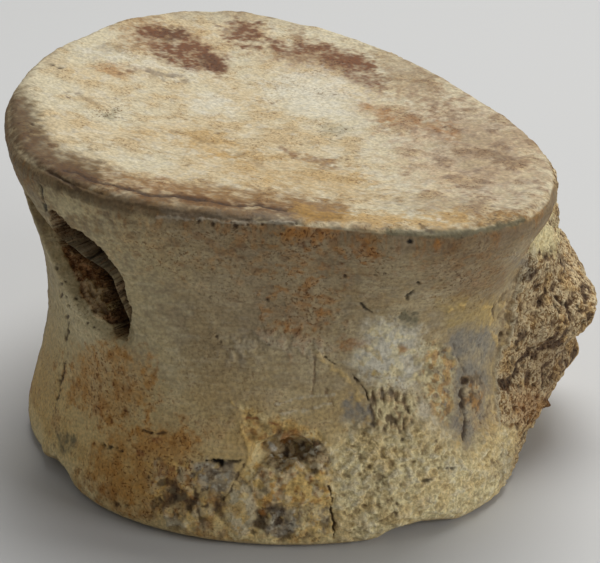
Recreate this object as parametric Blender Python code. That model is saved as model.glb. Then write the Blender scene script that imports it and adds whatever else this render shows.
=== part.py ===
"""Fossil plesiosaur vertebra: the centrum of one trunk vertebra, whose neural arch has broken away.

The bone stands on one end face, as it would be laid on a table. Z runs along the spine, X from side to
side, and +Y is dorsal, where the two stumps of the neural arch are. Angles go round Z from +X, and every
size in the constants is in millimetres or degrees. The finished bone has its origin under its middle.
"""

import math

import bmesh
import bpy
import numpy as np
from mathutils import Matrix, Vector, noise

MM = 0.001

# The two end faces: polar angle, radius of the upper rim, radius of the lower rim
RIM_STATIONS = (
    (0, 45.8, 45.2),
    (10, 48.2, 46.2),
    (20, 49.8, 46.0),
    (40, 47.2, 44.7),
    (65, 42.3, 43.8),
    (90, 40.6, 40.0),
    (115, 44.4, 43.0),
    (135, 49.0, 46.5),
    (152, 52.4, 48.5),
    (170, 49.5, 46.5),
    (190, 44.2, 42.0),
    (215, 39.9, 38.4),
    (240, 38.9, 37.8),
    (265, 39.7, 37.0),
    (290, 38.7, 38.8),
    (318, 36.8, 40.3),
    (340, 39.2, 42.3),
)
CENTRUM_LENGTH = 52.9
UPPER_SLOPE = (-0.047, -0.065)  # the upper face leans, because the ventral side is the longer one
UPPER_DISH = 3.0
LOWER_DISH = 3.4
DISH_FLATNESS = 1.2

# The rims' edges, which are rounder where the upper one is worn
LIP_HEIGHT = 3.2
UPPER_EDGE = 1.3
WORN_EDGE = 2.2
WORN_ANGLE = 250
WORN_SPREAD = 28.0
LOWER_EDGE = 2.2

# The bone rests on the ring of its lower face that lies outside this share of the radius
REST_RING_START = 0.84

# The waist between the rims: polar angle, depth, and the share of the length at which it is deepest
WAIST_STATIONS = (
    (0, 8.0, 0.6),
    (35, 6.5, 0.55),
    (65, 4.0, 0.5),
    (90, 3.5, 0.5),
    (115, 4.0, 0.5),
    (145, 6.5, 0.52),
    (180, 7.5, 0.55),
    (215, 6.0, 0.53),
    (240, 5.0, 0.53),
    (270, 4.6, 0.5),
    (300, 5.6, 0.58),
    (330, 7.0, 0.62),
)
WAIST_FULLNESS = 1.1

# The stumps of the neural arch: height and radius of the broken surface, and the angles at which each
# one starts, reaches its full radius, leaves it, and ends
STUMP_PROFILE = (
    (0.5, 43.0),
    (4.5, 46.0),
    (9.0, 49.0),
    (13.0, 51.4),
    (17.3, 50.6),
    (19.5, 51.8),
    (22.3, 54.8),
    (25.5, 52.8),
    (29.0, 50.6),
    (36.5, 47.8),
    (43.0, 45.5),
    (48.0, 43.0),
)
STUMP_SPANS = ((20, 50, 68, 77), (103, 112, 135, 160))
STUMP_LEAN = 12  # how far each outer edge leans towards the canal from the floor to the upper rim
STUMP_FOOT = 0.4  # the share of a stump's swelling from which its whole surface is torn

# The floor of the neural canal, a shallow groove between the stumps
CANAL_ANGLE = 90
CANAL_HALF_WIDTH = 13
CANAL_DEPTH = 2.2

# Where the lower rim has crumbled: from and to which angle, and how far its edge stands off the ground
CRUMBLED = ((351, 364, 1.7), (255, 271, 1.7))
CRUMBLED_FADE = 2.2
CRUMBLED_POWER = 4  # how fast the lift falls off towards the middle of the face

# The wall that has lost its skin, above the first of them: from and to which angle, up to which height
GRANULAR_SPAN = (340, 392)
GRANULAR_TOP = 20.0
GRANULAR_FADE = 4.0

# The pit in the ventral wall: centre on the wall, size and slant
PIT_ANGLE = 270
PIT_HEIGHT = 38.2
PIT_SIZE = (17.0, 5.6, 8.0)
PIT_SINK = 1.2
PIT_SLANT = -40
PIT_END_RADIUS = 5.4
PIT_END_ANGLE = 279.5
PIT_END_HEIGHT = 36.0

# The hollow under the broken plate in the lower wall
HOLLOW_ANGLE = 331
HOLLOW_HEIGHT = 14.6
HOLLOW_SIZE = (5.4, 2.2, 3.6)
HOLLOW_SLANT = 4

# How finely the surface is divided
COLUMNS = 100
WALL_RINGS = 24
EDGE_RINGS = 3
FACE_FRACTIONS = (0.96, 0.88, 0.76, 0.62, 0.46, 0.3, 0.14)

# Lumps of the surface: how far they stand out, how long they are, how many layers of noise, and a seed
WALL_LUMPS = (0.35, 16.0, 3, 1)
STUMP_LUMPS = (1.9, 10.5, 2, 29)
STUMP_KNOBS = (1.0, 4.6, 3, 5)
GRANULAR_LUMPS = (0.9, 9.0, 2, 6)
GRANULAR_KNOBS = (0.6, 4.0, 3, 3)
CUTTER_LUMPS = 0.16
CUTTER_LUMP_SCALE = 2.2
CUTTER_LAYERS = 3
NOISE_SHIFT = Vector((17.3, 5.9, 11.1))
NOISE_DECAY = 0.9
NOISE_STEP = 2.0

# The heights over which the roughness fades in above the lower rim, and depths below the upper rim likewise
FOOT_FADE = (0.4, 3.5)
LIP_FADE = (0.5, 3.0)

BONE_COLOUR = (0.47, 0.37, 0.25, 1.0)
BONE_ROUGHNESS = 0.85


def clear_scene():
    for thing in list(bpy.data.objects):
        bpy.data.objects.remove(thing, do_unlink=True)


def smooth_step(low, high, value):
    share = np.clip((value - low) / (high - low), 0.0, 1.0)
    return share * share * (3.0 - 2.0 * share)


def around(stations, column, angle):
    """A smooth closed curve through the stations, read at the angles."""
    at = np.array([row[0] for row in stations], float)
    value = np.array([row[column] for row in stations], float)
    at = np.concatenate([at - 360.0, at, at + 360.0])
    value = np.tile(value, 3)
    slope = (np.roll(value, -1) - np.roll(value, 1)) / (np.roll(at, -1) - np.roll(at, 1))
    angle = np.mod(angle, 360.0)
    left = np.searchsorted(at, angle, side="right") - 1
    gap = at[left + 1] - at[left]
    share = (angle - at[left]) / gap
    rest = 1.0 - share
    return (
        rest * rest * (1.0 + 2.0 * share) * value[left]
        + share * share * (3.0 - 2.0 * share) * value[left + 1]
        + share * rest * rest * gap * slope[left]
        - share * share * rest * gap * slope[left + 1]
    )


def turn_from(angle, middle):
    """How far each angle is from the middle, the short way round."""
    return np.mod(angle - middle + 180.0, 360.0) - 180.0


def relief(points, height, scale, layers, seed):
    """Smooth seeded noise at each point, of that height and for lumps about as long as the scale."""
    shift = NOISE_SHIFT * seed
    return height * np.array(
        [noise.fractal(Vector(point) / scale + shift, NOISE_DECAY, NOISE_STEP, layers) for point in points]
    )


def upper_plane(x, y):
    return CENTRUM_LENGTH + UPPER_SLOPE[0] * x + UPPER_SLOPE[1] * y


def span_share(angle, first, last, fade):
    """One between two angles and nothing outside them, with a fade at each end."""
    half = (last - first) / 2
    off = np.abs(turn_from(angle, first + half))
    return 1.0 - smooth_step(half - fade, half + fade, off)


def crumbled_lift(angle):
    """How far the edge of the lower rim stands off the ground."""
    return sum(lift * span_share(angle, first, last, CRUMBLED_FADE) for first, last, lift in CRUMBLED)


def stump_share(angle, height):
    """One on the broken tops of the stumps, falling to nothing at their feet."""
    lean = STUMP_LEAN * height / CENTRUM_LENGTH
    found = np.zeros_like(height)
    for first, full, still, last in STUMP_SPANS:
        outward = 1.0 if last < CANAL_ANGLE else 0.0
        start = first + lean * outward
        end = last - lean * (1.0 - outward)
        rise = smooth_step(start, full, angle)
        fall = 1.0 - smooth_step(still, end, angle)
        found = np.maximum(found, rise * fall)
    return found


def stump_radius(height):
    at, radius = zip(*STUMP_PROFILE)
    return np.interp(height, at, radius)


def wall_radius(angle, share, height):
    """The side wall between the rims, with the waist, the canal groove and the stumps."""
    upper = around(RIM_STATIONS, 1, angle)
    lower = around(RIM_STATIONS, 2, angle)
    power = math.log(0.5) / np.log(around(WAIST_STATIONS, 2, angle))
    bow = np.sin(math.pi * share**power) ** WAIST_FULLNESS
    radius = lower + (upper - lower) * share - around(WAIST_STATIONS, 1, angle) * bow
    groove = np.exp(-((turn_from(angle, CANAL_ANGLE) / CANAL_HALF_WIDTH) ** 2))
    radius = radius - CANAL_DEPTH * groove * bow
    swell = np.maximum(stump_radius(height) - radius, 0.0)
    return radius + swell * stump_share(angle, height)


def face_rings(angle, radius, height):
    """Rings across an end face, from its rim to near its middle, at the height given for each fraction."""
    rings = []
    for fraction in FACE_FRACTIONS:
        x = radius * fraction * np.cos(np.radians(angle))
        y = radius * fraction * np.sin(np.radians(angle))
        rings.append(np.column_stack([x, y, height(x, y, fraction)]))
    return rings


def lower_face(angle, radius, lift):
    """The lower end face: a flat ring to rest on, hollow inside it, and lifted where the rim has crumbled."""

    def height(x, y, fraction):
        hollow = LOWER_DISH * max(0.0, 1.0 - (fraction / REST_RING_START) ** 2) ** DISH_FLATNESS
        return lift * fraction**CRUMBLED_POWER + hollow

    return face_rings(angle, radius, height)


def upper_face(angle, radius):
    """The upper end face, dished a little below the plane of its rim."""

    def height(x, y, fraction):
        return upper_plane(x, y) - UPPER_DISH * (1.0 - fraction**2) ** DISH_FLATNESS

    return face_rings(angle, radius, height)


def bone_rings():
    """Every ring of the bone from the middle of the lower face up to the middle of the upper one."""
    angle = np.arange(COLUMNS) * 360.0 / COLUMNS
    cosine = np.cos(np.radians(angle))
    sine = np.sin(np.radians(angle))
    upper = around(RIM_STATIONS, 1, angle)
    lower = around(RIM_STATIONS, 2, angle)
    lift = crumbled_lift(angle)
    worn = np.exp(-((turn_from(angle, WORN_ANGLE) / WORN_SPREAD) ** 2))
    edge = UPPER_EDGE + (WORN_EDGE - UPPER_EDGE) * worn
    top = upper_plane(upper * cosine, upper * sine)

    rings = lower_face(angle, lower - LOWER_EDGE, lift)[::-1]
    for step in range(EDGE_RINGS):
        turn = math.pi / 2 * step / EDGE_RINGS
        radius = lower - LOWER_EDGE * (1.0 - math.sin(turn))
        height = lift + LOWER_EDGE * (1.0 - math.cos(turn))
        rings.append(np.column_stack([radius * cosine, radius * sine, height]))
    foot = lift + LOWER_EDGE
    for step in range(WALL_RINGS):
        share = np.full(COLUMNS, step / (WALL_RINGS - 1))
        height = foot + (top - LIP_HEIGHT - foot) * share
        radius = wall_radius(angle, share, height)
        rings.append(np.column_stack([radius * cosine, radius * sine, height]))
    for step in range(EDGE_RINGS + 1):
        turn = math.pi / 2 * step / EDGE_RINGS
        radius = upper - edge * (1.0 - math.cos(turn))
        height = top - edge * (1.0 - math.sin(turn))
        rings.append(np.column_stack([radius * cosine, radius * sine, height]))
    return rings + upper_face(angle, upper - edge)


def roughened(points):
    """The same points with the wall's soft lumps, the stumps' torn surface and the crumbled stretch."""
    x, y, z = points.T
    angle = np.degrees(np.arctan2(y, x))
    radius = np.hypot(x, y)
    wall = smooth_step(*FOOT_FADE, z) * smooth_step(*LIP_FADE, upper_plane(x, y) - z)
    broken = smooth_step(0.0, STUMP_FOOT, stump_share(np.mod(angle, 360.0), z)) * wall
    granular = span_share(angle, *GRANULAR_SPAN, CRUMBLED_FADE) * wall
    granular *= 1.0 - smooth_step(GRANULAR_TOP - GRANULAR_FADE, GRANULAR_TOP + GRANULAR_FADE, z)
    push = relief(points, *WALL_LUMPS) * wall
    push += (relief(points, *STUMP_LUMPS) + relief(points, *STUMP_KNOBS)) * broken
    push += (relief(points, *GRANULAR_LUMPS) + relief(points, *GRANULAR_KNOBS)) * granular
    return np.column_stack([x + push * x / radius, y + push * y / radius, z])


def lofted(name, rings):
    """One closed surface through the rings, with a point in the middle of each end."""
    mesh = bmesh.new()
    rows = [[mesh.verts.new(point * MM) for point in ring] for ring in rings]
    low_middle = mesh.verts.new(Vector(rings[0].mean(axis=0)) * MM)
    high_middle = mesh.verts.new(Vector(rings[-1].mean(axis=0)) * MM)
    count = len(rows[0])
    for column in range(count):
        after = (column + 1) % count
        mesh.faces.new((low_middle, rows[0][after], rows[0][column]))
        mesh.faces.new((high_middle, rows[-1][column], rows[-1][after]))
        for below, above in zip(rows, rows[1:]):
            mesh.faces.new((below[column], below[after], above[after], above[column]))
    bmesh.ops.triangulate(mesh, faces=mesh.faces[:])
    data = bpy.data.meshes.new(name)
    mesh.to_mesh(data)
    mesh.free()
    return bpy.data.objects.new(name, data)


def on_wall(angle, height, sink):
    """A point that far inside the side wall, and the way out of the wall there."""
    where = np.array([float(angle)])
    top = upper_plane(0.0, 0.0)
    share = np.array([(height - LOWER_EDGE) / (top - LIP_HEIGHT - LOWER_EDGE)])
    radius = wall_radius(where, share, np.array([float(height)]))[0] - sink
    outward = Vector((math.cos(math.radians(angle)), math.sin(math.radians(angle)), 0.0))
    return outward * radius + Vector((0.0, 0.0, height)), outward


def lump(name, angle, height, size, slant, sink, seed, collection):
    """A lumpy egg sunk in the wall: half length along the slant, half width and half depth."""
    mesh = bmesh.new()
    bmesh.ops.create_icosphere(mesh, subdivisions=3, radius=1.0)
    for vert in mesh.verts:
        place = vert.co * CUTTER_LUMP_SCALE + NOISE_SHIFT * seed
        vert.co *= 1.0 + CUTTER_LUMPS * noise.fractal(place, NOISE_DECAY, NOISE_STEP, CUTTER_LAYERS)
    middle, outward = on_wall(angle, height, sink)
    sideways = Vector((0.0, 0.0, 1.0)).cross(outward)
    along = Matrix.Rotation(math.radians(slant), 3, outward) @ sideways
    across = outward.cross(along)
    length, width, depth = size
    frame = Matrix((along * length, across * width, outward * depth)).transposed()
    for vert in mesh.verts:
        vert.co = (frame @ vert.co + middle) * MM
    data = bpy.data.meshes.new(name)
    mesh.to_mesh(data)
    mesh.free()
    cutter = bpy.data.objects.new(name, data)
    cutter.hide_render = True
    cutter.display_type = "WIRE"
    collection.objects.link(cutter)
    return cutter


def cut(body, cutter):
    modifier = body.modifiers.new(cutter.name, "BOOLEAN")
    modifier.operation = "DIFFERENCE"
    modifier.object = cutter


def bone_material():
    material = bpy.data.materials.new("fossil_bone")
    material.use_nodes = True
    shader = material.node_tree.nodes["Principled BSDF"]
    shader.inputs["Base Color"].default_value = BONE_COLOUR
    shader.inputs["Roughness"].default_value = BONE_ROUGHNESS
    shader.inputs["Metallic"].default_value = 0.0
    return material


def centre_on_ground(body, cutters):
    """Moves the bone and its cutters so that the origin lies under the middle of the bone's box."""
    corners = np.array([vert.co[:] for vert in body.data.vertices])
    low = corners.min(axis=0)
    high = corners.max(axis=0)
    shift = Vector((-(low[0] + high[0]) / 2, -(low[1] + high[1]) / 2, -low[2]))
    for thing in [body, *cutters]:
        thing.data.transform(Matrix.Translation(shift))


def main():
    clear_scene()
    parts = bpy.data.collections.new("plesiosaur_vertebra")
    tools = bpy.data.collections.new("cutters")
    bpy.context.scene.collection.children.link(parts)
    bpy.context.scene.collection.children.link(tools)

    bone = lofted("vertebra", [roughened(ring) for ring in bone_rings()])
    parts.objects.link(bone)
    bone.data.materials.append(bone_material())
    bone.data.shade_smooth()

    end = (PIT_END_RADIUS, PIT_END_RADIUS, PIT_END_RADIUS)
    cutters = [
        lump("pit_long", PIT_ANGLE, PIT_HEIGHT, PIT_SIZE, PIT_SLANT, PIT_SINK, 3, tools),
        lump("pit_end", PIT_END_ANGLE, PIT_END_HEIGHT, end, 0.0, PIT_SINK, 5, tools),
        lump("hollow", HOLLOW_ANGLE, HOLLOW_HEIGHT, HOLLOW_SIZE, HOLLOW_SLANT, 0.0, 7, tools),
    ]
    centre_on_ground(bone, cutters)
    for cutter in cutters:
        cut(bone, cutter)


main()
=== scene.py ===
"""Looks of the fossil plesiosaur vertebra: its skin, its colours, the floor, the light and the camera.

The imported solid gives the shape. Its surface is divided finely here, roughened and painted. Lengths are in
millimetres and turns in degrees unless a name says otherwise. A place in the photograph is (x, y) in its
pixels, and it marks the spot of the bone's skin that the camera sees there.
"""

import math

import bpy
import numpy as np
from mathutils import Matrix, Vector


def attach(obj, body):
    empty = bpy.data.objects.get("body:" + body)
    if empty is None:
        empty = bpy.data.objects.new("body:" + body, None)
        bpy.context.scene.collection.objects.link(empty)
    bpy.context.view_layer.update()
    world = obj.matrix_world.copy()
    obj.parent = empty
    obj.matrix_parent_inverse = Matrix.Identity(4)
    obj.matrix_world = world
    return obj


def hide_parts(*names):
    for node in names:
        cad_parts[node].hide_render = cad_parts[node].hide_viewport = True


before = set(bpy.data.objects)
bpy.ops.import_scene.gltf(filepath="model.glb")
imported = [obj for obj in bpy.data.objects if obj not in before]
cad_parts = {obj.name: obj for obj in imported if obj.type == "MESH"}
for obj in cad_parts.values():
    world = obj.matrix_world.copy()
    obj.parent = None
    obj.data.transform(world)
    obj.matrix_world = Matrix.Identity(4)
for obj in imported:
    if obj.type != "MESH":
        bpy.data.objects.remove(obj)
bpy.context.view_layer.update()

MM = 0.001
NODE = "vertebra"

# The photograph, and the camera that took it: its target and the way back to it from there
IMAGE_WIDTH = 600
IMAGE_HEIGHT = 563
SENSOR_WIDTH = 36.0
LENS = 131.25
CAMERA_TARGET = (6.99, -1.61, 26.2)
CAMERA_BACK = (0.7271, -0.5283, 0.4384)
CAMERA_DISTANCE = 350.0
NEAR_CLIP = 0.01

# The bone's long axis, its upper rim plane above it, and the slopes of that plane
AXIS = (0.72, -5.62)
UPPER_HEIGHT = 52.9
UPPER_SLOPE = (-0.047, -0.065)

# How finely the skin is divided, and how far the solid's facets are smoothed
SKIN_STEP = 0.2
SMOOTH_REACH = 0.95

# The broken stumps of the neural arch: the angles at which each one starts, is full, leaves and ends
STUMP_SPANS = ((20, 50, 68, 77), (103, 112, 135, 160))
STUMP_LEAN = 12

# Spots where the photograph's outline stands out from the solid's: the angle and height of each, and how far
# it reaches and stands out. Two fill a notch, one is a spur, and the last is a corner of the lower rim
MENDS = ((46, 19.8, 2.1, 1.2), (50, 17.2, 1.7, 0.7), (41, 8.4, 0.7, 1.3), (259, 2.4, 1.9, 1.0))
CANAL_ANGLE = 90

# How far a painted edge wanders and how jagged it is, in pixels
WANDER = 3.5
JAG = 1.4

# How far the grain of the end faces turns from the picture's left to right, in radians
GRAIN_TURN = -0.17

# The map for baked pictures: its edge, the foot of each wall strip, scales in shares of it to a millimetre,
# the level and places of the end faces' middles, and where a face of the mesh is part of an end face
BAKE_MARGIN = 0.02
BAKE_STRIPS = (0.46, 0.73)
BAKE_STRIP_SCALE = 0.0046
BAKE_FACE_SCALE = 0.0047
BAKE_FACE_MIDDLE = 0.225
BAKE_FACE_PLACES = (0.25, 0.75)
BAKE_STEEP = 0.6
BAKE_BASE = 6.0

# Numbers that scatter the cells of the noise
CELL_PRIMES = (73856093, 19349663, 83492791, 40503)
MIX_PRIME = 1274126177
SPREAD = 1023

# Further than any two spots are apart
FAR = 1e6

# How level the skin is where an end face starts and where it is full, how far below the upper rim plane and
# above the ground the end faces fade, and how squarely the skin faces the camera where it is fully seen
LEVEL_SHARES = (0.45, 0.8)
TOP_FADE = (5.0, 7.0)
BASE_FADE = (4.0, 6.0)
FACING_FADE = 0.16

# The upper rim is read from the solid in steps of this many degrees, within this band below its plane
RIM_STEP = 4
RIM_BAND = (-1.0, 2.0)

# Colours of the fossil, some also used for painted shade and light, as red, green and blue of 255
CREAM = (202, 190, 159)
TAN = (198, 176, 136)
WALL = (178, 160, 121)
OLIVE = (158, 138, 102)
DARK_OLIVE = (98, 80, 50)
LEFT_SHADE_BROWN = (92, 68, 44)
OCHRE = (180, 142, 78)
YELLOW = (186, 160, 96)
RUST = (156, 106, 52)
RED_RUST = (136, 82, 44)
MAUVE = (116, 78, 52)
PINK = (176, 146, 122)
STAIN = (160, 124, 82)
BROWN = (106, 80, 54)
WARM_BROWN = (132, 98, 56)
RED_BROWN = (98, 66, 36)
PIT_BROWN = (170, 126, 84)
LIP_SHADE_BROWN = (100, 80, 54)
UMBER = (66, 48, 33)
BLACK = (34, 28, 22)
GREY = (134, 126, 112)
BLUE_GREY = (128, 126, 120)
GREEN_GREY = (112, 106, 82)
PALE = (214, 208, 188)
WHITE = (232, 228, 214)
HONEY = (226, 192, 120)
SAND = (232, 218, 170)
ORANGE = (186, 134, 64)
DARK_RUST = (98, 60, 32)


def linear(colour):
    """The colour as the shader reads it."""
    share = np.array(colour, np.float32) / 255.0
    return np.where(share <= 0.04045, share / 12.92, ((share + 0.055) / 1.055) ** 2.4)


def ramp(low, high, value):
    """From nothing to one as the value goes from low to high, soft at both ends."""
    share = np.clip((value - low) / (high - low), 0.0, 1.0)
    return share * share * (3.0 - 2.0 * share)


def hill(distance, reach):
    """One at no distance, falling softly to nothing at about twice the reach."""
    return np.exp(-((distance / reach) ** 2))


# Noise on the skin

def scattered(cell, seed):
    """A whole number for each cell, as if by chance but the same on every run."""
    x, y, z = (cell[:, axis].astype(np.uint32) for axis in range(3))
    mixed = x * np.uint32(CELL_PRIMES[0]) ^ y * np.uint32(CELL_PRIMES[1]) ^ z * np.uint32(CELL_PRIMES[2])
    mixed ^= np.uint32(seed * CELL_PRIMES[3] & 0xFFFFFFFF)
    mixed = (mixed ^ (mixed >> np.uint32(13))) * np.uint32(MIX_PRIME)
    return mixed ^ (mixed >> np.uint32(16))


CORNERS = [np.array((i, j, k)) for i in (0, 1) for j in (0, 1) for k in (0, 1)]
AROUND = [np.array((i, j, k)) for i in (-1, 0, 1) for j in (-1, 0, 1) for k in (-1, 0, 1)]
LEANINGS = np.array(
    [v for v in np.ndindex(3, 3, 3) if sum(x == 1 for x in v) == 1], np.float32
) - 1.0


def lumps(points, seed):
    """Smooth noise from about -1 to 1, with about one lump to each unit of length."""
    base = np.floor(points).astype(np.int64)
    inside = (points - base).astype(np.float32)
    ease = inside ** 3 * (inside * (inside * 6.0 - 15.0) + 10.0)
    total = np.zeros(len(points), np.float32)
    for corner in CORNERS:
        lean = LEANINGS[scattered(base + corner, seed) % len(LEANINGS)]
        weight = np.prod(np.where(corner == 1, ease, 1.0 - ease), axis=1)
        total += weight * ((inside - corner) * lean).sum(axis=1)
    return total * 1.2


def relief(points, scale, octaves, seed):
    """Noise with smaller lumps on larger ones, the largest about as long as the scale."""
    total = np.zeros(len(points), np.float32)
    for octave in range(octaves):
        total += lumps(points * (2.0**octave / scale) + seed * 7.31, seed + octave) * 0.5**octave
    return total


def cells(points, spacing, seed):
    """Distance to the nearest of scattered points, and that point's number."""
    scaled = points / spacing
    base = np.floor(scaled).astype(np.int64)
    inside = (scaled - base).astype(np.float32)
    near = np.full(len(points), FAR, np.float32)
    name = np.zeros(len(points), np.float32)
    for step in AROUND:
        number = scattered(base + step, seed)
        spot = np.stack([number >> shift & SPREAD for shift in (0, 10, 20)], axis=1) / SPREAD
        gap = np.sqrt((((spot + step) - inside) ** 2).sum(axis=1))
        nearer = gap < near
        name = np.where(nearer, (number >> 5 & SPREAD) / SPREAD, name)
        near = np.where(nearer, gap, near)
    return near, name


def only(mask, function, *inputs):
    """The function's result where the mask is more than nothing, and zero elsewhere."""
    chosen = mask > 0.002
    result = np.zeros(len(mask), np.float32)
    if chosen.any():
        result[chosen] = function(*(part[chosen] for part in inputs))
    return result


def relief_on(mask, points, scale, octaves, seed):
    """The relief where the mask is more than nothing, and zero elsewhere."""
    return only(mask, lambda p: relief(p, scale, octaves, seed), points)


def specks(points, spacing, size, seed, mask):
    """Scattered round spots of several sizes, one in the middle of each."""

    def found(place):
        near, name = cells(place, spacing, seed)
        radius = size / spacing * (0.35 + 0.9 * name * name)
        return 1.0 - ramp(radius * 0.45, radius, near)

    return only(mask, found, points) * mask


# The skin

def read(items, name, width=1, kind=np.float32):
    """What each item of a mesh holds under that name, a row for each where it is more than one number."""
    values = np.empty(len(items) * width, kind)
    items.foreach_get(name, values)
    return values.reshape(-1, width) if width > 1 else values


def camera_frame():
    """Where the camera is, and its way right, up and forward."""
    back = np.array(CAMERA_BACK) / np.linalg.norm(CAMERA_BACK)
    eye = np.array(CAMERA_TARGET) + CAMERA_DISTANCE * back
    right = np.cross(-back, (0.0, 0.0, 1.0))
    right /= np.linalg.norm(right)
    return eye, right, np.cross(right, -back), -back


class Skin:
    """The bone's surface as numbers: places, ways out, and what is known of each spot."""

    def __init__(self, mesh):
        count = len(mesh.vertices)
        self.at = read(mesh.vertices, "co", 3) / MM
        self.out = read(mesh.vertices, "normal", 3)
        self.push = np.zeros(count, np.float32)
        self.inward = np.zeros(count, np.float32)
        self.colour = np.tile(linear(WALL).astype(np.float32), (count, 1))

        x = self.at[:, 0] - AXIS[0]
        y = self.at[:, 1] - AXIS[1]
        self.height = self.at[:, 2]
        self.angle = np.mod(np.degrees(np.arctan2(y, x)), 360.0)
        self.radius = np.hypot(x, y)
        self.under = UPPER_HEIGHT + UPPER_SLOPE[0] * x + UPPER_SLOPE[1] * y - self.height
        self.top = ramp(*LEVEL_SHARES, self.out[:, 2]) * (1.0 - ramp(*TOP_FADE, self.under))
        self.base = ramp(*LEVEL_SHARES, -self.out[:, 2]) * (1.0 - ramp(*BASE_FADE, self.height))
        self.wall = 1.0 - self.top - self.base
        self.rim_gap = self.rim_radius() - self.radius

        eye, right, up, ahead = camera_frame()
        ray = self.at - eye
        depth = ray @ ahead
        zoom = IMAGE_WIDTH * LENS / SENSOR_WIDTH
        self.px = (IMAGE_WIDTH / 2 + zoom * (ray @ right) / depth).astype(np.float32)
        self.py = (IMAGE_HEIGHT / 2 - zoom * (ray @ up) / depth).astype(np.float32)
        self.pixel = CAMERA_DISTANCE / zoom
        seen = -(self.out * ray).sum(axis=1) / np.linalg.norm(ray, axis=1)
        self.facing = ramp(0.0, FACING_FADE, seen)
        wander = self.at.astype(np.float32)
        self.wx = self.px + WANDER * relief(wander, 3.0, 3, 11)
        self.wy = self.py + WANDER * relief(wander, 3.0, 3, 17)
        self.jag_x = JAG * relief(wander, 0.9, 2, 12)
        self.jag_y = JAG * relief(wander, 0.9, 2, 18)
        self.ragged = relief(wander, 1.5, 3, 13)
        self.fleck = relief(wander, 0.7, 2, 14)
        self.patchy = relief(wander, 3.4, 4, 15)
        self.dots = np.zeros(count, np.float32)

    def rim_radius(self):
        """The radius of the upper rim at each spot's angle, read from the solid itself."""
        near = (self.under > RIM_BAND[0]) & (self.under < RIM_BAND[1])
        bins = np.arange(0, 360, RIM_STEP)
        slot = (self.angle // RIM_STEP).astype(int) % len(bins)
        reach = np.zeros(len(bins))
        np.maximum.at(reach, slot[near], self.radius[near])
        at = np.concatenate([bins + RIM_STEP / 2 + turn for turn in (-360, 0, 360)])
        return np.interp(self.angle, at, np.tile(reach, 3)).astype(np.float32)

    def drawn_in(self, places):
        """The places, drawn in towards the bone's long axis as far as each spot goes inward."""
        share = 1.0 - self.inward / self.radius
        axis = np.array((*AXIS, 0.0))
        return (places - axis) * np.column_stack([share, share, np.ones_like(share)]) + axis

    def noise(self, mask, scale, octaves, seed):
        return relief_on(mask, self.at, scale, octaves, seed)

    def tint(self, colour, mask):
        """Mixes the colour in by the mask."""
        share = np.clip(mask, 0.0, 1.0)[:, None]
        self.colour += (linear(colour) - self.colour) * share

    def wandered(self, warp):
        """Where the photograph shows the spots, moved about by that share of their wandering."""
        return self.px + (self.wx - self.px) * warp, self.py + (self.wy - self.py) * warp

    def about(self, x, y, points, reach):
        """Which places lie about the points, on skin that faces the camera."""
        low, high = points.min(axis=0) - reach, points.max(axis=0) + reach
        return (x > low[0]) & (x < high[0]) & (y > low[1]) & (y < high[1]) & (self.facing > 0.01)

    def stroke(self, points, width, warp=0.35, rough=1.0):
        """One on a line drawn in the photograph, falling to nothing at its half width in millimetres."""
        line = np.array(points, np.float32)
        reach = width / self.pixel
        x, y = self.wandered(warp)
        x = x + self.jag_x * rough
        y = y + self.jag_y * rough
        near = self.about(x, y, line, reach + 1.0)
        found = np.zeros(len(x), np.float32)
        if near.any():
            gap = np.full(near.sum(), FAR, np.float32)
            for start, end in zip(line, line[1:]):
                gap = np.minimum(gap, line_gap(x[near], y[near], start, end))
            uneven = 0.9 * self.ragged[near] + 0.6 * self.patchy[near]
            uneven = np.maximum(1.0 + rough * uneven, 0.2)
            found[near] = (1.0 - ramp(0.25, 1.0, gap / reach / uneven)) * self.facing[near]
        return found

    def patch(self, outline, fade, warp=1.0):
        """One inside an outline drawn in the photograph, with an edge that fades over that many pixels."""
        edge = np.array(outline, np.float32)
        x, y = self.wandered(warp)
        near = self.about(x, y, edge, fade)
        found = np.zeros(len(x), np.float32)
        if near.any():
            torn = 0.5 * self.ragged[near] + 0.25 * self.fleck[near]
            depth = depth_inside(x[near], y[near], edge) + fade * torn
            found[near] = ramp(-0.75 * fade, 0.75 * fade, depth) * self.facing[near]
        return found

    def blot(self, x, y, wide, high, turn=0.0, warp=1.0):
        """A soft egg in the photograph: its middle, half width and half height in pixels, and its turn."""
        across, down = self.wandered(warp)
        dx, dy = across - x, down - y
        cosine, sine = math.cos(math.radians(turn)), math.sin(math.radians(turn))
        gap = np.hypot((dx * cosine + dy * sine) / wide, (dy * cosine - dx * sine) / high)
        gap = gap - 0.4 * self.ragged - 0.2 * self.fleck
        return (1.0 - ramp(0.35, 1.2, gap)) * self.facing


def line_gap(x, y, start, end):
    """How far each place is from the stretch between two points."""
    way = end - start
    share = np.clip(((x - start[0]) * way[0] + (y - start[1]) * way[1]) / max(way @ way, 1e-6), 0.0, 1.0)
    return np.hypot(x - start[0] - share * way[0], y - start[1] - share * way[1])


def depth_inside(x, y, edge):
    """How far each place is inside a closed outline, less than nothing outside it."""
    gap = np.full(len(x), FAR, np.float32)
    odd = np.zeros(len(x), bool)
    for start, end in zip(edge, np.roll(edge, -1, axis=0)):
        gap = np.minimum(gap, line_gap(x, y, start, end))
        spans = (start[1] > y) != (end[1] > y)
        rise = end[1] - start[1]
        if rise:
            odd ^= spans & (x < (end[0] - start[0]) * (y - start[1]) / rise + start[0])
    return np.where(odd, gap, -gap)


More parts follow.
